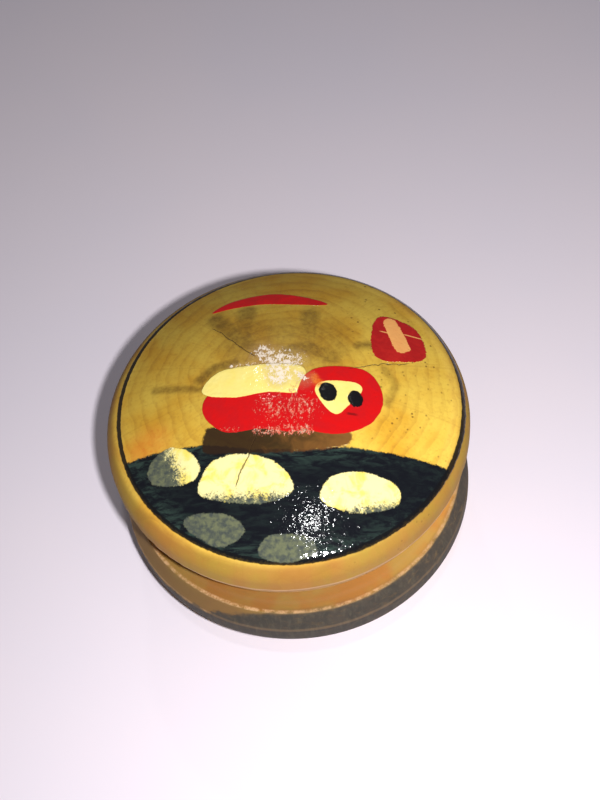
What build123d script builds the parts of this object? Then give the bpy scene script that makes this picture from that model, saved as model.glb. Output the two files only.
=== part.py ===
from build123d import *
import math
import os

# A turned wooden yo-yo: two domed halves glued on a plain dowel axle.
# Origin: the middle of the axle, halfway across the string gap. +Z runs along the axle.

# Driving dimensions, mm
rim_radius = 27.55         # widest part of a half
wall_height = 1.9          # upright band of the rim, between the bevel and the shoulder
bevel_height = 3.4         # from the gap edge up to the widest part
bevel_inset = 1.4          # how much smaller the gap edge is than the rim, on the radius
edge_round = 0.3           # wear on the gap edge and on the edge above the bevel
shoulder_radius = 4.35     # round between the rim and the dome
half_thickness = 14.5      # from the gap edge to the top of the dome
pole_flat_radius = 4.0     # small sanded flat in the middle of each dome

rim_gap = 7.0              # string gap between the two gap edges
hub_gap = 4.4              # string gap beside the axle
hub_radius = 9.0           # flat part of the gap face around the axle

dowel_diameter = 8.0
dowel_seat_depth = 8.0     # how far the dowel goes into each half
dowel_chamfer = 0.5
glue_film = 0.05           # room for glue between the dowel and its bore, on the radius
bore_chamfer = 0.3

# Worked out from the above
gap_edge_radius = rim_radius - bevel_inset
gap_edge_z = rim_gap / 2
hub_z = hub_gap / 2
bevel_top_z = gap_edge_z + bevel_height
wall_top_z = bevel_top_z + wall_height
pole_z = gap_edge_z + half_thickness
shoulder_centre_r = rim_radius - shoulder_radius
bore_radius = dowel_diameter / 2 + glue_film
bore_floor_z = hub_z + dowel_seat_depth


def dome_radius():
    """Radius of the dome's arc: centred on the axis, with the shoulder arc tangent inside it."""
    rise = pole_z - wall_top_z
    return (shoulder_centre_r**2 + rise**2 - shoulder_radius**2) / (2 * (rise - shoulder_radius))


def half_outline():
    """Half of the section of the upper half, on the XZ plane, with the blind bore left out."""
    dome_r = dome_radius()
    dome_centre_z = pole_z - dome_r
    join_angle = math.asin(shoulder_centre_r / (dome_r - shoulder_radius))
    flat_angle = math.asin(pole_flat_radius / dome_r)
    shoulder_sweep = math.pi / 2 - join_angle

    def on_dome(angle):
        return (dome_r * math.sin(angle), dome_centre_z + dome_r * math.cos(angle))

    def on_shoulder(angle):
        return (shoulder_centre_r + shoulder_radius * math.cos(angle),
                wall_top_z + shoulder_radius * math.sin(angle))

    flat_edge = on_dome(flat_angle)
    wall_top = (rim_radius, wall_top_z)
    with BuildLine(Plane.XZ) as outline:
        Polyline((0, bore_floor_z), (bore_radius, bore_floor_z), (bore_radius, hub_z + bore_chamfer),
                 (bore_radius + bore_chamfer, hub_z), (hub_radius, hub_z),
                 (gap_edge_radius, gap_edge_z), (rim_radius, bevel_top_z), wall_top)
        ThreePointArc(wall_top, on_shoulder(shoulder_sweep / 2), on_shoulder(shoulder_sweep))
        ThreePointArc(on_shoulder(shoulder_sweep), on_dome((join_angle + flat_angle) / 2), flat_edge)
        Polyline(flat_edge, (0, flat_edge[1]), (0, bore_floor_z))
    return outline.line


def turned_half():
    """The half above the gap, with its two rim edges worn round."""
    body = revolve(make_face(half_outline()), Axis.Z, 360)

    def is_worn(edge):
        height = edge.center().Z
        return abs(height - gap_edge_z) < 0.01 or abs(height - bevel_top_z) < 0.01

    worn = body.edges().filter_by(GeomType.CIRCLE).filter_by(is_worn)
    return fillet(worn, edge_round)


def upper_half():
    return turned_half()


def lower_half():
    return mirror(turned_half(), Plane.XY)


def axle_dowel():
    """Plain dowel whose ends seat on the floors of the two bores."""
    dowel = Cylinder(dowel_diameter / 2, 2 * bore_floor_z)
    ends = dowel.edges().filter_by(GeomType.CIRCLE)
    return chamfer(ends, dowel_chamfer)


os.makedirs("parts", exist_ok=True)
export_step(upper_half(), "parts/upper_half.step")
export_step(lower_half(), "parts/lower_half.step")
export_step(axle_dowel(), "parts/axle_dowel.step")
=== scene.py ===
import math

import bmesh
import bpy
import numpy as np
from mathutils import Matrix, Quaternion, Vector


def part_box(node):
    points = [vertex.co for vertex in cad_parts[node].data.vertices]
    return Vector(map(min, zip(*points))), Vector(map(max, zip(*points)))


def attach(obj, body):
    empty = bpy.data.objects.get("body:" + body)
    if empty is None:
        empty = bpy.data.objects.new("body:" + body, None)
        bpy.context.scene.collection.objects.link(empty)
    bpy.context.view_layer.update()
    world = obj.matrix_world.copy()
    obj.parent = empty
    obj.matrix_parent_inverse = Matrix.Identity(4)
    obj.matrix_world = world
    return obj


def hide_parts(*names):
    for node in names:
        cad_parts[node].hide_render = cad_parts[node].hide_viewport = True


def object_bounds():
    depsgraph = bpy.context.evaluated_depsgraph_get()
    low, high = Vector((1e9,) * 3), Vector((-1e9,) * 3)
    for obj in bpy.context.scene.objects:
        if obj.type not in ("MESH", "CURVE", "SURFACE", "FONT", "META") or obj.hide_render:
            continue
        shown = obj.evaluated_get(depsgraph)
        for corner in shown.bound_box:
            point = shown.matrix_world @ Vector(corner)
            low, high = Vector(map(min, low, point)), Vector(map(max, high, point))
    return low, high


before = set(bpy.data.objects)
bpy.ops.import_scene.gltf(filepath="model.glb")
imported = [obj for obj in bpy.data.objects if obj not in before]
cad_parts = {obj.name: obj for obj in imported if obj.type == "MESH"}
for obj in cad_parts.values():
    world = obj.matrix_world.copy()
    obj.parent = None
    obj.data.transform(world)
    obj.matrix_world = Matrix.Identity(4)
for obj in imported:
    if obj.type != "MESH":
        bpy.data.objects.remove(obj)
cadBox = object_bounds()
mm = 0.001
print("frame loaded, CAD box", [round(v / mm, 2) for corner in cadBox for v in corner])


# small tools

def colour(red, green, blue):
    # screen colour, 0 to 255 a channel, to the linear colour that a shader takes
    def linear(value):
        value /= 255
        return value / 12.92 if value <= 0.04045 else ((value + 0.055) / 1.055) ** 2.4
    return (linear(red), linear(green), linear(blue), 1.0)


def addNode(tree, kind, settings=None, values=None, output=0):
    # settings first, then socket values or links by name or number
    node = tree.nodes.new(kind)
    for name, value in (settings or {}).items():
        setattr(node, name, value)
    for name, value in (values or {}).items():
        if isinstance(value, Signal):
            tree.links.new(value.socket, node.inputs[name])
        else:
            node.inputs[name].default_value = value
    return Signal(tree, node.outputs[output])


class Signal:
    # one output socket, so that shader maths reads as sums
    def __init__(self, tree, socket):
        self.tree = tree
        self.socket = socket

    def sum(self, operation, first, second=0.0):
        return addNode(self.tree, "ShaderNodeMath", {"operation": operation}, {0: first, 1: second})

    def __add__(self, other):
        return self.sum("ADD", self, other)

    def __radd__(self, other):
        return self.sum("ADD", other, self)

    def __sub__(self, other):
        return self.sum("SUBTRACT", self, other)

    def __rsub__(self, other):
        return self.sum("SUBTRACT", other, self)

    def __mul__(self, other):
        return self.sum("MULTIPLY", self, other)

    def __rmul__(self, other):
        return self.sum("MULTIPLY", other, self)

    def __truediv__(self, other):
        return self.sum("DIVIDE", self, other)

    def __abs__(self):
        return self.sum("ABSOLUTE", self)

    def least(self, other):
        return self.sum("MINIMUM", self, other)

    def most(self, other):
        return self.sum("MAXIMUM", self, other)

    def fraction(self):
        return self.sum("FRACT", self)

    def root(self):
        return self.sum("SQRT", self)

    def step(self, low, high, bottom=0.0, top=1.0):
        # smooth step from bottom to top as the signal goes from low to high
        return addNode(self.tree, "ShaderNodeMapRange", {"interpolation_type": "SMOOTHSTEP"},
                       {0: self, 1: low, 2: high, 3: bottom, 4: top})


def mixColour(tree, factor, below, above, blend="MIX"):
    return addNode(tree, "ShaderNodeMix", {"data_type": "RGBA", "blend_type": blend},
                   {0: factor, 6: below, 7: above}, 2)


def noiseAt(tree, place, size, detail=2.0, roughness=0.5, distortion=0.0, stretch=(1, 1, 1)):
    # noise whose features are about size millimetres across; stretch lengthens them along an axis
    scaled = addNode(tree, "ShaderNodeMapping", {},
                     {"Vector": place, "Scale": [1 / (size * mm * s) for s in stretch]})
    return addNode(tree, "ShaderNodeTexNoise", {},
                   {"Vector": scaled, "Scale": 1.0, "Detail": detail, "Roughness": roughness,
                    "Distortion": distortion})


def attribute(tree, name):
    return addNode(tree, "ShaderNodeAttribute", {"attribute_name": name}, {}, 2)


# outlines and distances, all in millimetres

def roundedOutline(points, steps=8):
    # closed smooth curve through a few given points
    curve = []
    count = len(points)
    for i in range(count):
        before, start, end, after = (np.array(points[(i + k) % count], float) for k in (-1, 0, 1, 2))
        for t in np.linspace(0, 1, steps, endpoint=False):
            curve.append(0.5 * (2 * start + (end - before) * t
                                + (2 * before - 5 * start + 4 * end - after) * t ** 2
                                + (3 * start - before - 3 * end + after) * t ** 3))
    return np.array(curve)


def insideDistance(x, y, points):
    # how far a place is inside a rounded outline; negative outside
    curve = roundedOutline(points)
    nearest = np.full(x.shape, 1e9)
    inside = np.zeros(x.shape, bool)
    for (ax, ay), (bx, by) in zip(curve, np.roll(curve, -1, 0)):
        along = np.clip(((x - ax) * (bx - ax) + (y - ay) * (by - ay))
                        / ((bx - ax) ** 2 + (by - ay) ** 2 + 1e-12), 0, 1)
        nearest = np.minimum(nearest, np.hypot(x - ax - along * (bx - ax), y - ay - along * (by - ay)))
        crosses = (ay > y) != (by > y)
        inside ^= crosses & (x < (bx - ax) * (y - ay) / (by - ay + 1e-12) + ax)
    return np.where(inside, nearest, -nearest)


def softTrail(x, y, path, halfWidth, softness):
    # 1 along an open path, fading to 0 over the softness beyond its half width
    nearest = np.full(x.shape, 1e9)
    for (ax, ay), (bx, by) in zip(path, path[1:]):
        along = np.clip(((x - ax) * (bx - ax) + (y - ay) * (by - ay))
                        / ((bx - ax) ** 2 + (by - ay) ** 2 + 1e-12), 0, 1)
        nearest = np.minimum(nearest, np.hypot(x - ax - along * (bx - ax), y - ay - along * (by - ay)))
    return easeStep(1 - (nearest - halfWidth) / softness)


def easeStep(value):
    value = np.clip(value, 0, 1)
    return value * value * (3 - 2 * value)


def ripple(points, size, seed):
    # smooth unevenness between about -1 and 1, made of a few waves in fixed directions
    rng = np.random.default_rng(seed)
    total = np.zeros(len(points))
    for _ in range(7):
        direction = rng.normal(size=3)
        direction *= rng.uniform(0.6, 1.5) * 2 * math.pi / (size * np.linalg.norm(direction))
        total += np.sin(points @ direction + rng.uniform(0, 2 * math.pi))
    return total / 3.5


# the turned halves

half = {
    "bevelInset": 1.4,       # gap edge to widest edge, on the radius
    "bevelHeight": 3.4,
    "wallHeight": 1.9,
    "shoulderRadius": 4.35,
    "thickness": 14.5,       # gap edge to the top of the dome's arc
    "rimGap": 7.0,
    "hubRadius": 9.0,
    "boreClearance": 0.05,
    "boreChamfer": 0.3,
    "edgeRound": 0.3,
    "turns": 480,            # faces round the axis
    "domeRings": 96,
    "paintRoom": 0.09,       # bare wood lies this far under the top of the thickest paint
    "unevenness": 0.012,     # of the dome, as it was turned by hand
    "toolMarkDepth": 0.012,  # on the gap face
    "toolMarkPitch": 1.15,
    "rubDepth": 0.05,        # wear on the two rim edges
}

lowCorner, highCorner = (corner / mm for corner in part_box("upper_half"))
dowelLow, dowelHigh = (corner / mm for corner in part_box("axle_dowel"))
rimRadius = highCorner.x
hubZ = lowCorner.z
flatZ = highCorner.z
boreRadius = dowelHigh.x + half["boreClearance"]
boreFloorZ = dowelHigh.z
gapEdgeZ = half["rimGap"] / 2
bevelTopZ = gapEdgeZ + half["bevelHeight"]
wallTopZ = bevelTopZ + half["wallHeight"]
poleZ = gapEdgeZ + half["thickness"]
shoulderCentreR = rimRadius - half["shoulderRadius"]
rise = poleZ - wallTopZ
domeRadius = ((shoulderCentreR ** 2 + rise ** 2 - half["shoulderRadius"] ** 2)
              / (2 * (rise - half["shoulderRadius"])))
joinAngle = math.asin(shoulderCentreR / (domeRadius - half["shoulderRadius"]))


def straight(start, end, count):
    return [(start[0] + (end[0] - start[0]) * k / count, start[1] + (end[1] - start[1]) * k / count)
            for k in range(1, count + 1)]


def roundedCorner(before, corner, after, radius, count=4):
    # the arc that wears a corner of the section round
    a, c, b = Vector(before), Vector(corner), Vector(after)
    toA, toB = (a - c).normalized(), (b - c).normalized()
    halfAngle = toA.angle(toB) / 2
    centre = c + (toA + toB).normalized() * radius / math.sin(halfAngle)
    start = c + toA * radius / math.tan(halfAngle) - centre
    end = c + toB * radius / math.tan(halfAngle) - centre
    middle = [start.lerp(end, k / count).normalized() * radius for k in range(count + 1)]
    return [tuple(centre + spoke) for spoke in middle]


def sectionOfHalf():
    # radius and height, from the bore's floor round the outside to the top of the dome
    gapEdge = (rimRadius - half["bevelInset"], gapEdgeZ)
    widest = (rimRadius, bevelTopZ)
    wallTop = (rimRadius, wallTopZ)
    hubEdge = (half["hubRadius"], hubZ)
    chamfer = half["boreChamfer"]
    section = [(0, boreFloorZ), (boreRadius, boreFloorZ), (boreRadius, hubZ + chamfer),
               (boreRadius + chamfer, hubZ)]
    section += straight(section[-1], hubEdge, 3)
    gapRound = roundedCorner(hubEdge, gapEdge, widest, half["edgeRound"])
    wideRound = roundedCorner(gapEdge, widest, wallTop, half["edgeRound"])
    section += straight(hubEdge, gapRound[0], 16) + gapRound[1:]
    section += straight(gapRound[-1], wideRound[0], 9) + wideRound[1:]
    section += straight(wideRound[-1], wallTop, 5)
    for k in range(1, 23):
        angle = (math.pi / 2 - joinAngle) * k / 22
        section.append((shoulderCentreR + half["shoulderRadius"] * math.cos(angle),
                        wallTopZ + half["shoulderRadius"] * math.sin(angle)))
    for k in range(1, half["domeRings"]):
        angle = joinAngle * (1 - k / half["domeRings"])
        z = poleZ - domeRadius + domeRadius * math.cos(angle)
        section.append((domeRadius * math.sin(angle), min(z, flatZ)))
    return section + [(0, flatZ)]


def spinSection(name, section, turns, upsideDown=False):
    bm = bmesh.new()
    sign = -1 if upsideDown else 1
    verts = [bm.verts.new((r * mm, 0, sign * z * mm)) for r, z in section]
    edges = [bm.edges.new(pair) for pair in zip(verts, verts[1:])]
    bmesh.ops.spin(bm, geom=verts + edges, cent=(0, 0, 0), axis=(0, 0, 1), angle=2 * math.pi,
                   steps=turns, use_merge=True, use_duplicate=False)
    bmesh.ops.remove_doubles(bm, verts=bm.verts, dist=0.0005 * mm)
    bmesh.ops.recalc_face_normals(bm, faces=bm.faces)
    for face in bm.faces:
        face.smooth = True
    mesh = bpy.data.meshes.new(name)
    bm.to_mesh(mesh)
    bm.free()
    piece = bpy.data.objects.new(name, mesh)
    bpy.context.scene.collection.objects.link(piece)
    return piece


# what is painted on each half

ringLine = {"centre": (0.7, 0.1), "radius": 25.85, "halfWidth": 0.32}

upperDaubs = {
    "groundLine": [(-24.5, -10.5), (-19, -9.5), (-11, -9.1), (-4, -10.2), (3, -10.2), (9.5, -9.3),
                   (17.5, -9.6), (25, -10.4)],
    "outlines": {
        "log": [(-11.1, -9.6), (-10.9, -7.2), (-9.8, -6.4), (-3, -6.7), (8.8, -6.6), (10.4, -7.2), (9.8, -9),
                (6, -10), (0, -10.7), (-7, -10.7), (-10.4, -10.4)],
        "redBody": [(-11.7, -3), (-10.5, -0.7), (-6, -1.4), (-1.5, -0.7), (3, -1), (3.2, -7),
                    (-3, -7), (-7.5, -7.4), (-10.5, -5.5)],
        "creamBack": [(-12, 0.4), (-10, 3), (-6.5, 3.9), (0, 4.3), (3.2, 3.3), (2.7, -0.7),
                      (-2, -0.8), (-6.5, -1.6), (-11, -1)],
        "redHead": [(2.2, -1.5), (3.5, 2.5), (6.5, 4), (11.5, 4), (14, 1.8), (14.8, -1.8),
                    (13.2, -5.2), (9.7, -7.2), (6, -7.4), (3, -6.2)],
        "creamFace": [(4.9, -0.3), (6, 1.2), (10.5, 1.4), (11.7, 0), (10, -2.5), (8.1, -4.3),
                      (6, -2.5)],
        "redArc": [(-12.3, 16), (-9.5, 18.2), (-4, 19.6), (0.5, 19.2), (5.3, 17.6), (5, 16.9),
                   (0.5, 16.9), (-4.5, 17.1), (-9.5, 16.5)],
        "redPatch": [(13.3, 14.8), (15.5, 15.5), (19, 14), (20.4, 11.5), (20.9, 8.5), (19.3, 6.9),
                     (14, 6.3), (12.7, 9.8)],
        "patchStroke": [(14.4, 14.5), (16.1, 14.9), (18.4, 9.8), (18.1, 8.6), (16.6, 8.3),
                        (15.3, 11.3)],
    },
    "stones": [
        # outline, direction towards the yellow side, where it turns, over what width
        ([(-19.2, -11.5), (-16.5, -9), (-13, -10), (-11.2, -12.8), (-13, -14.7), (-18, -14.3)],
         (0.9, 0.45), (-15.2, -11.6), 2.4),
        ([(-11.2, -15), (-9.5, -11.8), (-5.5, -10.8), (-0.5, -12), (2.5, -15.5), (0, -17.7),
          (-5, -18), (-10.5, -16.8)], (0, 1), (-5, -16.9), 2.2),
        ([(6.3, -16.5), (8, -13.8), (12.5, -12.9), (17, -14.2), (17, -17), (12, -18.7),
          (7.5, -18)], (-0.25, 0.97), (12, -18), 1.8),
        ([(-13.3, -20), (-11, -19.1), (-6.5, -19.6), (-4.2, -21.8), (-7.5, -23.8), (-11.5, -22)],
         (0, 1), (0, 0), 1),
        ([(-2.2, -24.3), (-0.5, -22.3), (4.5, -22.4), (6, -24.2), (2.5, -25.7), (-1, -25.5)],
         (0, 1), (0, 0), 1),
    ],
    "blobs": [((6.8, -0.65), 1.25, 1.65, 20, 0.22), ((10.8, -1.5), 1.1, 1.4, 10, 0.3)],
    "smudges": [
        ([(-11.5, 14.2), (-7.9, 10.4), (-4.5, 7)], 0.5, 1.6, 0.9),
        ([(-6.6, 15.5), (-6.6, 10)], 0.7, 1.6, 0.8),
        ([(3.2, 14.5), (3.2, 10.5)], 0.8, 1.6, 0.8),
        ([(-19.5, 1.4), (-12.3, 0.4)], 0.2, 0.9, 0.8),
        ([(-12.6, 1.9), (-10.5, 4), (-7.5, 4.9)], 0.3, 1.0, 1.0),
        ([(14.9, 4.5), (16.6, 1.9), (15.5, -1.6)], 0.2, 0.9, 0.6),
        ([(10.8, 8.6), (13, 8.9)], 0.2, 1.2, 0.9),
        ([(0.5, 6.8), (3.5, 7.6), (7, 6)], 0.5, 2.0, 0.95),
        ([(-5, 8.5), (5, 8.8)], 2.5, 5, 0.55),
    ],
    "orangeTint": [([(-20.5, -8.6), (-19, -7.6)], 0.5, 4, 0.8), ([(4.5, 1.9), (5.6, 0.6)], 0.1, 0.9, 1)],
    "worn": [([(-1.2, -3.4), (3.4, -3.4)], 1.2, 3.4, 0.9), ([(-3.2, -7.3), (4.4, -7)], 0.3, 1.3, 1.15),
             ([(2, -0.5), (3.2, 1.8)], 0.5, 1.6, 0.9), ([(-8.5, -6.8), (-6, -7)], 0.1, 0.8, 0.9),
             ([(2.6, 1.6), (4.6, 2.9)], 0.2, 1.6, 0.7)],
    # worn, chipped patches; near the pith their white flecks also carry a painted highlight
    "chip": [([(-3.4, 6.6), (-1.4, 4.8), (1.6, 5.0)], 0.3, 2.6, 1), ([(-1.2, 5.2), (-0.6, 2)], 0.8, 2.4, 1),
             ([(0, 3), (3.2, 1.6)], 0.2, 2.2, 0.8), ([(-8, 4), (-4, 4.4)], 0.1, 0.7, 0.7)],
    "cracks": [((-11.9, 12.5), (-4.3, 5.6), 0.10), ((9.5, 3.9), (18.6, 6.5), 0.10),
               ((-3.1, -7.6), (-5.9, -15.8), 0.14)],
}

lowerDaubs = {
    "groundLine": [(-24.5, -7.5), (-15, -6.5), (-6, -7.6), (5, -7), (14, -8.2), (25, -7)],
    "outlines": {
        "redArc": [(-8, 9.5), (-4, 12), (1, 12.6), (6, 11), (5.6, 9.8), (1, 11), (-4, 10.4)],
    },
    "stones": [
        ([(-14, -14), (-10.5, -11), (-6, -12), (-5, -15), (-9, -17), (-13, -16.5)],
         (0.2, 1), (-9, -15.5), 2),
        ([(2, -13), (6, -10.6), (11, -11.5), (12.5, -14.5), (7.5, -16.6), (3, -15.8)],
         (0, 1), (7, -15.4), 2),
        ([(-3, -20.5), (1, -18.5), (6, -19.2), (6.5, -22), (1, -23), (-2.5, -22.4)], (0, 1), (0, 0), 1),
    ],
    "blobs": [],
    "smudges": [([(-10, 4), (-3, 1)], 0.5, 3, 0.5), ([(6, 5), (12, 1)], 0.4, 2, 0.5)],
    "orangeTint": [([(-14, 0), (-12, 6)], 1, 6, 0.5)],
    "worn": [([(-6, 11.5), (0, 12)], 0.3, 2.0, 0.5)],
    "chip": [([(-0.4, 0.3), (0.6, -0.2)], 0.3, 1.2, 0.8)],
    "cracks": [((1.5, 1), (9, 6), 0.09)],
}


def paintFields(points, daubs):
    # every painted shape as a distance or a strength at each vertex; points are in millimetres
    x, y = points[:, 0], points[:, 1]
    fields = {}
    line = np.array(daubs["groundLine"], float)
    under = np.interp(x, line[:, 0], line[:, 1]) - y
    centre = ringLine["centre"]
    within = ringLine["radius"] - np.hypot(x - centre[0], y - centre[1])
    fields["ringIn"] = within
    fields["ground"] = np.minimum(under, within + 0.1)
    for name, outline in daubs["outlines"].items():
        fields[name] = insideDistance(x, y, outline)
    stones = np.full(x.shape, -50.0)
    tone = np.zeros(x.shape)
    for outline, direction, turn, width in daubs["stones"]:
        inside = insideDistance(x, y, outline)
        towards = ((x - turn[0]) * direction[0] + (y - turn[1]) * direction[1]) / width + 0.5
        if turn == (0, 0):
            towards = np.full(x.shape, -0.9)
        tone = np.where(inside > stones, np.clip(towards, -1, 2), tone)
        stones = np.maximum(stones, inside)
    fields["stones"] = stones
    fields["stoneTone"] = tone
    for name in ("smudges", "orangeTint", "worn", "chip"):
        strength = np.zeros(x.shape)
        for path, halfWidth, softness, amount in daubs[name]:
            strength = np.maximum(strength, amount * softTrail(x, y, path, halfWidth, softness))
        fields[name] = strength
    blobs = np.full(x.shape, -50.0)
    for (bx, by), halfX, halfY, slant, _ in daubs["blobs"]:
        turn = math.radians(slant)
        u = ((x - bx) * math.cos(turn) + (y - by) * math.sin(turn)) / halfX
        v = ((y - by) * math.cos(turn) - (x - bx) * math.sin(turn)) / halfY
        blobs = np.maximum(blobs, (1 - np.hypot(u, v)) * halfX)
    fields["blobs"] = blobs
    return fields


def thickenPaint(points, fields, daubs):
    # how far each place of the dome stands proud of the bare wood
    proud = np.zeros(len(points))
    bank = {"ground": 0.02, "log": 0.03, "redBody": 0.035, "creamBack": 0.05, "redHead": 0.05,
            "creamFace": 0.03, "redArc": 0.035, "redPatch": 0.03, "patchStroke": 0.03, "stones": 0.035}
    for name, thickness in bank.items():
        if name in fields:
            proud += thickness * easeStep(fields[name] / 0.45 + 0.5)
    proud = np.minimum(proud, half["paintRoom"])
    for (bx, by), halfX, halfY, slant, height in daubs["blobs"]:
        turn = math.radians(slant)
        x, y = points[:, 0] - bx, points[:, 1] - by
        u = (x * math.cos(turn) + y * math.sin(turn)) / halfX
        v = (y * math.cos(turn) - x * math.sin(turn)) / halfY
        lumps = 1 + 0.22 * ripple(points, 1.3, 5)
        proud += height * np.sqrt(np.clip(1 - u * u - v * v, 0, 1)) * lumps
    return proud


def makeHalf(name, daubs, upsideDown):
    piece = spinSection(name, sectionOfHalf(), half["turns"], upsideDown)
    mesh = piece.data
    count = len(mesh.vertices)
    places = np.empty(count * 3)
    normals = np.empty(count * 3)
    mesh.vertices.foreach_get("co", places)
    mesh.vertices.foreach_get("normal", normals)
    places = places.reshape(-1, 3) / mm
    normals = normals.reshape(-1, 3)
    painted = places.copy()
    if upsideDown:
        painted[:, 1] *= -1          # the picture on the other side, seen when it is turned over
    fields = paintFields(painted, daubs)
    radius = np.hypot(places[:, 0], places[:, 1])
    height = np.abs(places[:, 2])
    outside = height > bevelTopZ
    onDome = easeStep((rimRadius - 1.2 - radius) / 2.0) * outside
    nearPole = easeStep((radius - 3) / 3)

    shift = onDome * (thickenPaint(painted, fields, daubs) - half["paintRoom"])
    shift += onDome * nearPole * half["unevenness"] * (ripple(places, 9, 2) - 1)
    wear = np.exp(-((height - bevelTopZ) / 0.35) ** 2) * (radius > rimRadius - 0.7)
    fromGapEdge = radius - rimRadius + half["bevelInset"]
    wear += 0.8 * np.exp(-((height - gapEdgeZ) / 0.3) ** 2 - (fromGapEdge / 0.35) ** 2)
    patchiness = np.clip(0.9 + ripple(places, 2.6, 3) + 0.6 * ripple(places, 7, 4), 0, 3)
    shift -= wear * half["rubDepth"] * patchiness
    turned = (height < gapEdgeZ) * (radius > half["hubRadius"])
    toolMarks = 1 + np.sin(radius * 2 * math.pi / half["toolMarkPitch"])
    shift -= turned * half["toolMarkDepth"] * toolMarks
    places += normals * shift[:, None]
    places[:, 2] = np.clip(places[:, 2], -flatZ, flatZ)
    mesh.vertices.foreach_set("co", (places * mm).ravel())

    onTop = height > wallTopZ - 1        # the painting stops at the rim
    for fieldName, values in fields.items():
        isStrength = fieldName in ("smudges", "orangeTint", "worn", "chip", "stoneTone")
        values = np.where(onTop, values, 0 if isStrength else -30)
        layer = mesh.attributes.new(fieldName, "FLOAT", "POINT")
        layer.data.foreach_set("value", np.clip(values, -30, 30).astype(np.float32))
    mesh.update()
    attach(piece, "root")
    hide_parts("lower_half" if upsideDown else "upper_half")
    print(name, "made,", len(mesh.vertices), "vertices")
    return piece


# the painted, varnished wood

woodLook = {
    "pale": colour(226, 190, 76),
    "warm": colour(212, 160, 48),
    "ringBrown": colour(150, 98, 34),
    "olive": colour(112, 82, 30),
    "orange": colour(226, 120, 36),
    "pore": colour(92, 58, 20),
    "pith": (-0.9, 2.3),
    "ringSpacing": 1.9,
    "roughness": 0.26,
}

paintLook = {
    "black": colour(18, 18, 20),
    "groundDark": colour(16, 18, 24),
    "groundGreen": colour(52, 70, 62),
    "logDark": colour(44, 30, 20),
    "logBrown": colour(120, 78, 38),
    "red": colour(208, 16, 18),
    "redDull": colour(150, 24, 24),
    "redWorn": colour(226, 110, 86),
    "cream": colour(248, 222, 104),
    "creamPale": colour(250, 236, 150),
    "stoneGreen": colour(108, 112, 84),
    "stoneGrey": colour(70, 76, 72),
    "stroke": colour(238, 178, 104),
    "chip": colour(216, 196, 170),
    "rimDark": colour(60, 55, 48),
    "edgePale": colour(206, 166, 122),
}


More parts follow.
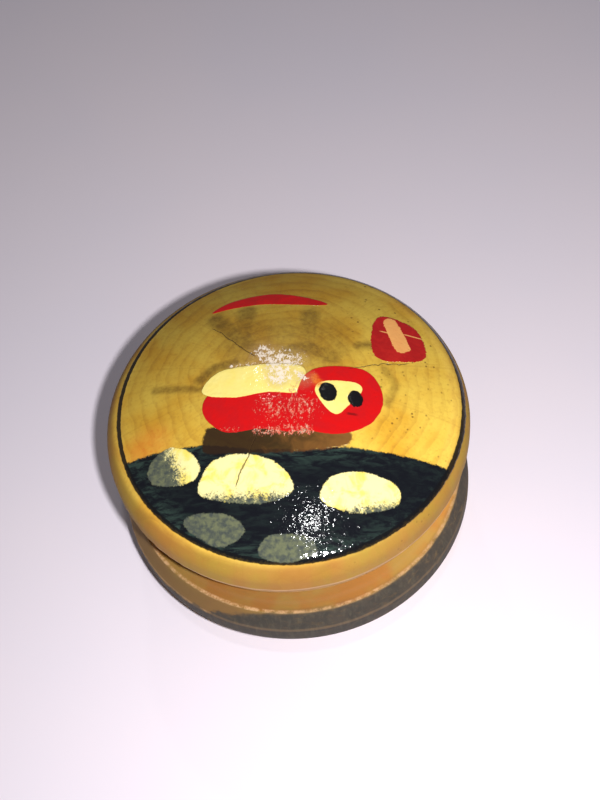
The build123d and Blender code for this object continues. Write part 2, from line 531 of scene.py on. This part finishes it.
def paintedMaterial(name, daubs, upsideDown):
    material = bpy.data.materials.new(name)
    material.use_nodes = True
    tree = material.node_tree
    tree.nodes.clear()
    place = addNode(tree, "ShaderNodeTexCoord", {}, {}, 3)
    if upsideDown:
        place = addNode(tree, "ShaderNodeMapping", {}, {"Vector": place, "Rotation": (math.pi, 0, 0)})
    axes = addNode(tree, "ShaderNodeSeparateXYZ", {}, {"Vector": place})
    x, y, z = (Signal(tree, axes.socket.node.outputs[k]) / mm for k in range(3))

    def patch(signal, ragged, size=0.9, soft=0.05):
        # a painted shape's cover, with a brushed edge
        edge = noiseAt(tree, place, size, 4, 0.65) - 0.5
        return (signal + edge * (2 * ragged)).step(-soft, soft)

    def field(fieldName):
        return attribute(tree, fieldName)

    # bare varnished wood: rings round the pith, rays and broad stains
    px = x - woodLook["pith"][0]
    py = y - woodLook["pith"][1]
    warp = noiseAt(tree, place, 11, 3, 0.55) - 0.5
    reach = (px * px + py * py).root() + warp * 5
    wander = noiseAt(tree, place, 4.5, 3) - 0.5
    rings = (reach / woodLook["ringSpacing"] + wander * 0.35).fraction()
    late = rings.step(0.45, 0.92) * rings.step(1.0, 0.94)
    bands = noiseAt(tree, place, 9, 3, 0.55)
    fleck = noiseAt(tree, place, 0.55, 3, 0.6)
    wood = mixColour(tree, bands.step(0.32, 0.68), woodLook["pale"], woodLook["warm"])
    wood = mixColour(tree, late * (bands.step(0.3, 0.75) * 0.24 + 0.1), wood, woodLook["ringBrown"])
    wood = mixColour(tree, (fleck - 0.5).step(-0.05, 0.3) * 0.3, wood, woodLook["ringBrown"])
    angleWay = addNode(tree, "ShaderNodeVectorMath", {"operation": "NORMALIZE"},
                       {0: addNode(tree, "ShaderNodeCombineXYZ", {}, {0: px, 1: py, 2: 0.0})})
    rays = addNode(tree, "ShaderNodeTexNoise", {},
                   {"Vector": angleWay, "Scale": 26.0, "Detail": 3.0, "Roughness": 0.7})
    wood = mixColour(tree, rays.step(0.52, 0.7) * 0.16, wood, woodLook["ringBrown"])
    poreCells = addNode(tree, "ShaderNodeTexVoronoi", {"feature": "F1"},
                        {"Vector": place, "Scale": 1 / (0.95 * mm), "Randomness": 1.0})
    poreZone = rings.step(0.3, 0.5) * rings.step(0.95, 0.7) * (x + warp * 8).step(6.0, 12.0)
    pores = poreCells.step(0.26, 0.1) * poreZone * noiseAt(tree, place, 2.4, 1).step(0.4, 0.55)
    wood = mixColour(tree, pores * 0.75, wood, woodLook["pore"])
    dust = noiseAt(tree, place, 1.1, 4, 0.7)
    smudge = field("smudges") * (dust.step(0.25, 0.7) * 0.5 + 0.55)
    wood = mixColour(tree, smudge * 0.8, wood, woodLook["olive"])
    wood = mixColour(tree, field("orangeTint") * (dust * 0.8 + 0.2), wood, woodLook["orange"])

    radius = (x * x + y * y).root()
    tall = abs(z)
    outerSide = radius.step(25.2, 25.9)
    amber = noiseAt(tree, place, 7, 3, 0.6, stretch=(1, 1, 2.5))
    rimColour = mixColour(tree, amber.step(0.35, 0.65), colour(142, 110, 30), colour(150, 97, 36))
    sideGrain = noiseAt(tree, place, 0.55, 4, 0.65, 0.3, (1, 1, 7))
    rimColour = mixColour(tree, sideGrain.step(0.48, 0.7) * 0.45, rimColour, woodLook["ringBrown"])
    rimColour = mixColour(tree, fleck.step(0.55, 0.75) * 0.25, rimColour, colour(196, 150, 60))
    shade = mixColour(tree, radius.step(25.6, 26.8) * 0.8, wood, rimColour)
    gapFace = tall.step(3.62, 3.5)
    gapColour = mixColour(tree, amber.step(0.36, 0.62), colour(200, 158, 74), colour(204, 138, 60))
    shade = mixColour(tree, gapFace, shade, gapColour)
    bevel = tall.step(6.8, 6.5) * outerSide * (1 - gapFace)
    shade = mixColour(tree, bevel * 0.6, shade, colour(190, 146, 84))
    sideShade = (0.9 - y * 0.017 + x * 0.007).least(1.15).most(0.45)      # painted shade: darker in a straight ramp towards one side
    sideShadeGrey = addNode(tree, "ShaderNodeCombineXYZ", {}, {0: sideShade, 1: sideShade, 2: sideShade})
    shade = mixColour(tree, 1.0, shade, sideShadeGrey, "MULTIPLY")

    # strokes of paint, in the order they went on
    brush = noiseAt(tree, place, 2.2, 4, 0.6, 0.6)
    speck = noiseAt(tree, place, 0.28, 3, 0.75)
    cover = 0.0
    if "redArc" in daubs["outlines"]:
        arc = patch(field("redArc"), 0.12)
        shade = mixColour(tree, arc, shade, mixColour(tree, brush, paintLook["redDull"], paintLook["red"]))
        cover = arc
    if "redPatch" in daubs["outlines"]:
        redPatch = patch(field("redPatch") + (speck - 0.5) * 0.4, 0.34, 1.4)
        shade = mixColour(tree, redPatch, shade,
                          mixColour(tree, brush.step(0.4, 0.7), colour(168, 26, 26), colour(184, 34, 30)))
        strokeMask = patch(field("patchStroke") + (speck - 0.5) * 0.4, 0.25)
        shade = mixColour(tree, strokeMask, shade,
                          mixColour(tree, brush, paintLook["stroke"], colour(226, 150, 84)))
        cover = cover.most(redPatch)
        for start, end in (((13.8, 12.15), (15.5, 11.9)), ((17.4, 12.2), (20.6, 11.8))):
            thin = segmentMask(tree, x, y, place, start, end, 0.16, 0.08)
            shade = mixColour(tree, thin * 0.8, shade, paintLook["stroke"])
    ground = patch(field("ground") + (speck - 0.5) * 0.5, 0.4, 0.8, 0.14)
    dryStroke = noiseAt(tree, place, 0.8, 3, 0.6, 0.3)
    sweep = noiseAt(tree, place, 0.9, 4, 0.7, 0.5, (3.5, 1, 1))
    nearTop = (field("ground") * -0.28 + 1.0).most(0.1) + dryStroke * 0.15
    greenish = sweep.step(0.4, 0.7) * nearTop * x.step(22.0, 6.0, 0.25, 1.0)
    groundColour = mixColour(tree, greenish, paintLook["groundDark"], paintLook["groundGreen"])
    shade = mixColour(tree, ground, shade, groundColour)
    line = patch(ringLine["halfWidth"] - abs(field("ringIn")), 0.16, 0.9, 0.07)
    shade = mixColour(tree, line * 0.96, shade, paintLook["black"])
    cover = ground.most(line).most(cover)
    if "log" in daubs["outlines"]:
        log = patch(field("log") + (speck - 0.5) * 0.5, 0.4, 1.1, 0.2)
        logTone = (x / 14 + 0.25 + (brush - 0.5) * 1.2).step(0.0, 1.0)
        shade = mixColour(tree, log * 0.97, shade,
                          mixColour(tree, logTone, paintLook["logDark"], paintLook["logBrown"]))
        cover = cover.most(log)
    bristle = (speck - 0.5) * 0.5
    stones = patch(field("stones") + bristle, 0.3, 0.9, 0.1)
    tone = (field("stoneTone") + (dryStroke - 0.5) * 1.4 + (speck - 0.5) * 2.2).step(0.15, 0.85)
    dullStone = mixColour(tree, dryStroke.step(0.3, 0.7), paintLook["stoneGrey"], paintLook["stoneGreen"])
    yellow = mixColour(tree, brush.step(0.3, 0.56), paintLook["cream"], colour(246, 234, 164))
    shade = mixColour(tree, stones, shade, mixColour(tree, tone, dullStone, yellow))
    cover = cover.most(stones)
    if "redBody" in daubs["outlines"]:
        red = mixColour(tree, brush.step(0.3, 0.7), paintLook["red"], colour(196, 20, 24))
        body = patch(field("redBody"), 0.12)
        back = patch(field("creamBack"), 0.12)
        head = patch(field("redHead"), 0.12)
        face = patch(field("creamFace"), 0.14)
        shade = mixColour(tree, body, shade, red)
        shade = mixColour(tree, back, shade,
                          mixColour(tree, brush, paintLook["cream"], paintLook["creamPale"]))
        shade = mixColour(tree, head, shade, red)
        shade = mixColour(tree, face, shade,
                          mixColour(tree, brush, paintLook["cream"], paintLook["creamPale"]))
        shade = mixColour(tree, field("orangeTint") * x.step(0.0, 2.0) * dust.step(0.3, 0.6), shade,
                          woodLook["orange"])
        cover = cover.most(body).most(back).most(head)
        dash = segmentMask(tree, x, y, place, (9.5, -4.0), (11.4, -4.15), 0.28, 0.12)
        shade = mixColour(tree, dash * 0.85, shade, colour(120, 16, 18))
    scratch = noiseAt(tree, place, 0.34, 4, 0.75, 0.6, (1, 1.8, 1))
    worn = field("worn") * 0.5 + (scratch - 0.5) * 2.0 + (dust - 0.5) * 0.7
    wornMask = worn.step(0.5, 0.6) * field("worn").step(0.02, 0.2)
    shade = mixColour(tree, wornMask * 0.85, shade,
                      mixColour(tree, speck.step(0.5, 0.62), paintLook["redWorn"], paintLook["chip"]))
    # the worn, chipped patch round the pith: its near-white flecks are partly real chipping and partly a
    # painted highlight of light glinting on the rough surface
    chipFlecksAndGlint = (field("chip") * 0.55 + (scratch - 0.5) * 2.0 + (dust - 0.5) * 1.2).step(0.42, 0.62)
    chipFlecksAndGlint = chipFlecksAndGlint * field("chip").step(0.02, 0.25)
    shade = mixColour(tree, field("chip") * 0.4, shade, colour(176, 140, 96))
    shade = mixColour(tree, chipFlecksAndGlint * 0.9, shade, colour(246, 232, 214))
    blobs = patch(field("blobs"), 0.24, 0.8, 0.04)
    if daubs["blobs"]:
        shade = mixColour(tree, blobs, shade, paintLook["black"])

    # the rim's dark paint on the lower half, with a brushed upper border that drops away to the left
    rimPaint = 0.0
    if upsideDown:
        side = (x * -0.95 + y * 0.3) / 27.5
        border = side.step(0.3, 0.85, 3.62, 7.3)
        ragged = (noiseAt(tree, place, 2.0, 4, 0.6) - 0.5) * 0.9
        rimPaint = (tall - border + ragged * (border - 3.0)).step(-0.4, 0.4) * outerSide
        rimTone = mixColour(tree, brush.step(0.3, 0.7), paintLook["rimDark"], colour(46, 46, 42))
        thinPaint = noiseAt(tree, place, 1.3, 4, 0.7, 0.4, (1, 1, 0.5)).step(0.5, 0.75)
        rimTone = mixColour(tree, sideGrain.step(0.45, 0.7) * 0.4, rimTone, colour(84, 82, 66))
        shade = mixColour(tree, rimPaint * (0.95 - thinPaint * 0.22), shade, rimTone)

    # worn edges, pale where the finish has rubbed off
    nearWide = (abs(tall - bevelTopZ)).step(0.42, 0.16) * radius.step(27.0, 27.3)
    nearGap = (abs(tall - gapEdgeZ)).step(0.3, 0.1) * radius.step(25.6, 25.9)
    wideRub = nearWide * (dust.step(0.2, 0.45) * 0.75 + 0.25) * (0.45 if upsideDown else 1.0)
    rub = wideRub.most(nearGap * (dust + speck * 0.5).step(0.55, 0.95))
    shade = mixColour(tree, rub * (1 - rimPaint * 0.7) * 0.9, shade, paintLook["edgePale"])

    # drying cracks
    cracks = 0.0
    for start, end, halfWidth in daubs["cracks"]:
        crack = segmentMask(tree, x, y, place, start, end, halfWidth, 0.7)
        cracks = crack if isinstance(cracks, float) else cracks.most(crack)
    shade = mixColour(tree, cracks * 0.72, shade, colour(70, 50, 26))

    # height in millimetres, for the fine surface that the mesh doesn't carry
    lumps = noiseAt(tree, place, 0.66, 2, 0.5) * 0.055
    peel = noiseAt(tree, place, 1.7, 2, 0.5) * 0.03
    strokes = noiseAt(tree, place, 0.4, 2, 0.6, 0.4, (3, 1, 1)) * 0.003
    relief = lumps * (cover * 0.9 + 0.1) + peel * (cover * 1.4 + 0.3) + strokes * cover
    relief = relief + sideGrain * radius.step(25.6, 26.8) * 0.02
    relief = relief + late * 0.004 - pores * 0.03 - cracks * 0.08 - wornMask * 0.02
    relief = relief + (speck - 0.5) * field("chip") * 0.09 + blobs * lumps * 3.0
    normal = addNode(tree, "ShaderNodeBump", {},
                     {"Strength": 1.0, "Distance": mm, "Height": relief})
    rough = woodLook["roughness"] + (dust - 0.5) * 0.1 - cover * 0.18 + wornMask * 0.25
    rough = rough + gapFace * 0.2 + radius.step(24.0, 25.2) * 0.5 * (1 - cover) + chipFlecksAndGlint * 0.08 + rub * 0.2
    shader = addNode(tree, "ShaderNodeBsdfPrincipled", {},
                     {"Base Color": shade, "Roughness": rough.most(0.06), "Normal": normal,
                      "IOR": 1.5})
    output = tree.nodes.new("ShaderNodeOutputMaterial")
    tree.links.new(shader.socket, output.inputs["Surface"])
    return material


def segmentMask(tree, x, y, place, start, end, halfWidth, wobble):
    # a thin line from start to end, a little crooked and fading at its ends
    length = math.dist(start, end)
    dx, dy = (end[0] - start[0]) / length, (end[1] - start[1]) / length
    along = (x - start[0]) * dx + (y - start[1]) * dy
    across = (y - start[1]) * dx - (x - start[0]) * dy
    crooked = across + (noiseAt(tree, place, 2.6, 3, 0.6) - 0.5) * (2 * wobble)
    ends = along.step(-0.1, 0.5) * along.step(length + 0.1, length - 0.7)
    return abs(crooked).step(halfWidth, halfWidth * 0.35) * ends


def dowelMaterial():
    material = bpy.data.materials.new("bareDowelWood")
    material.use_nodes = True
    tree = material.node_tree
    tree.nodes.clear()
    place = addNode(tree, "ShaderNodeTexCoord", {}, {}, 3)
    grain = noiseAt(tree, place, 0.5, 4, 0.6, 0.2, (1, 1, 14))
    broad = noiseAt(tree, place, 3.0, 2, 0.5, 0.0, (1, 1, 5))
    shade = mixColour(tree, grain.step(0.3, 0.7), colour(214, 176, 118), colour(178, 132, 78))
    shade = mixColour(tree, broad.step(0.4, 0.7) * 0.4, shade, colour(150, 104, 58))
    normal = addNode(tree, "ShaderNodeBump", {}, {"Strength": 1.0, "Distance": mm, "Height": grain * 0.04})
    shader = addNode(tree, "ShaderNodeBsdfPrincipled", {},
                     {"Base Color": shade, "Roughness": 0.55 + grain * 0.2, "Normal": normal})
    output = tree.nodes.new("ShaderNodeOutputMaterial")
    tree.links.new(shader.socket, output.inputs["Surface"])
    return material


upperHalf = makeHalf("upperHalfTurned", upperDaubs, False)
upperHalf.data.materials.append(paintedMaterial("paintedWoodUpper", upperDaubs, False))
lowerHalf = makeHalf("lowerHalfTurned", lowerDaubs, True)
lowerHalf.data.materials.append(paintedMaterial("paintedWoodLower", lowerDaubs, True))
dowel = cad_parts["axle_dowel"]
for place in dowel.material_slots:
    place.material = dowelMaterial()
print("materials made")


# floor, light and camera

studio = {
    "floorSize": 3000,
    "floorColour": colour(236, 226, 234),
    "cameraPlace": (23.35, -113.75, 186.72),
    "cameraAim": (1.472, 4.986, 6.9),
    "cameraRoll": -8.525,
    "lens": 63,
    "keyBeside": (16, -2),         # right of and above the lens
    "keyWidth": 8,
    "keyAim": (24, -30, -18),
    "keySpread": 110,
    "keyPower": 0.215,
    "ambient": 0.11,
}


def makeFloor():
    bm = bmesh.new()
    bmesh.ops.create_grid(bm, x_segments=8, y_segments=8, size=studio["floorSize"] / 2 * mm)
    bmesh.ops.translate(bm, verts=bm.verts, vec=(0, 0, cadBox[0].z))
    mesh = bpy.data.meshes.new("floor")
    bm.to_mesh(mesh)
    bm.free()
    floor = bpy.data.objects.new("floor", mesh)
    bpy.context.scene.collection.objects.link(floor)
    material = bpy.data.materials.new("paleFloor")
    material.use_nodes = True
    tree = material.node_tree
    tree.nodes.clear()
    place = addNode(tree, "ShaderNodeTexCoord", {}, {}, 3)
    cloud = noiseAt(tree, place, 60, 3, 0.5)
    shade = mixColour(tree, cloud.step(0.3, 0.7), studio["floorColour"], colour(232, 224, 234))
    shader = addNode(tree, "ShaderNodeBsdfPrincipled", {},
                     {"Base Color": shade, "Roughness": 0.8, "Specular IOR Level": 0.2})
    output = tree.nodes.new("ShaderNodeOutputMaterial")
    tree.links.new(shader.socket, output.inputs["Surface"])
    mesh.materials.append(material)


def addLight(name, place, aim, width, power, tint=(1, 1, 1), spread=180):
    light = bpy.data.lights.new(name, "AREA")
    light.shape = "DISK"
    light.size = width * mm
    light.energy = power
    light.color = tint
    light.spread = math.radians(spread)
    lamp = bpy.data.objects.new(name, light)
    lamp.location = Vector(place) * mm
    lamp.rotation_mode = "QUATERNION"
    lamp.rotation_quaternion = (Vector(aim) - Vector(place)).to_track_quat("-Z", "Y")
    bpy.context.scene.collection.objects.link(lamp)


def setStudio():
    cameraData = bpy.data.cameras.new("camera")
    cameraData.lens = studio["lens"]
    cameraData.sensor_width = 36
    cameraData.clip_start = 0.005
    camera = bpy.data.objects.new("camera", cameraData)
    sight = Vector(studio["cameraAim"]) - Vector(studio["cameraPlace"])
    level = sight.to_track_quat("-Z", "Y")
    camera.rotation_mode = "QUATERNION"
    camera.rotation_quaternion = level @ Quaternion((0, 0, 1), math.radians(studio["cameraRoll"]))
    camera.location = Vector(studio["cameraPlace"]) * mm
    bpy.context.scene.collection.objects.link(camera)
    bpy.context.scene.camera = camera
    turn = camera.rotation_quaternion
    right, up = turn @ Vector((1, 0, 0)), turn @ Vector((0, 1, 0))
    print("camera right", [round(v, 4) for v in right], "up", [round(v, 4) for v in up])
    keyPlace = (Vector(studio["cameraPlace"]) + right * studio["keyBeside"][0]
                + up * studio["keyBeside"][1])
    addLight("keyLight", keyPlace, studio["keyAim"], studio["keyWidth"], studio["keyPower"],
             (1.0, 0.99, 1.0), studio["keySpread"])
    top = Vector((5, -20, 15)) + Vector((0.075, -0.163, 0.984)) * 600
    addLight("overheadLight", top, (0, 0, 0), 26, 0.32)
    behind = Vector((-1.7, 3.4, 17.8)) + Vector((-0.164, 0.649, 0.742)) * 600
    addLight("backLight", behind, (0, 0, 0), 26, 0.13)
    world = bpy.data.worlds.new("studioWorld")
    world.use_nodes = True
    background = world.node_tree.nodes["Background"]
    background.inputs["Color"].default_value = (0.95, 0.93, 1.0, 1)
    background.inputs["Strength"].default_value = studio["ambient"]
    bpy.context.scene.world = world
    bpy.context.scene.view_settings.view_transform = "Standard"


makeFloor()
setStudio()
print("studio set")
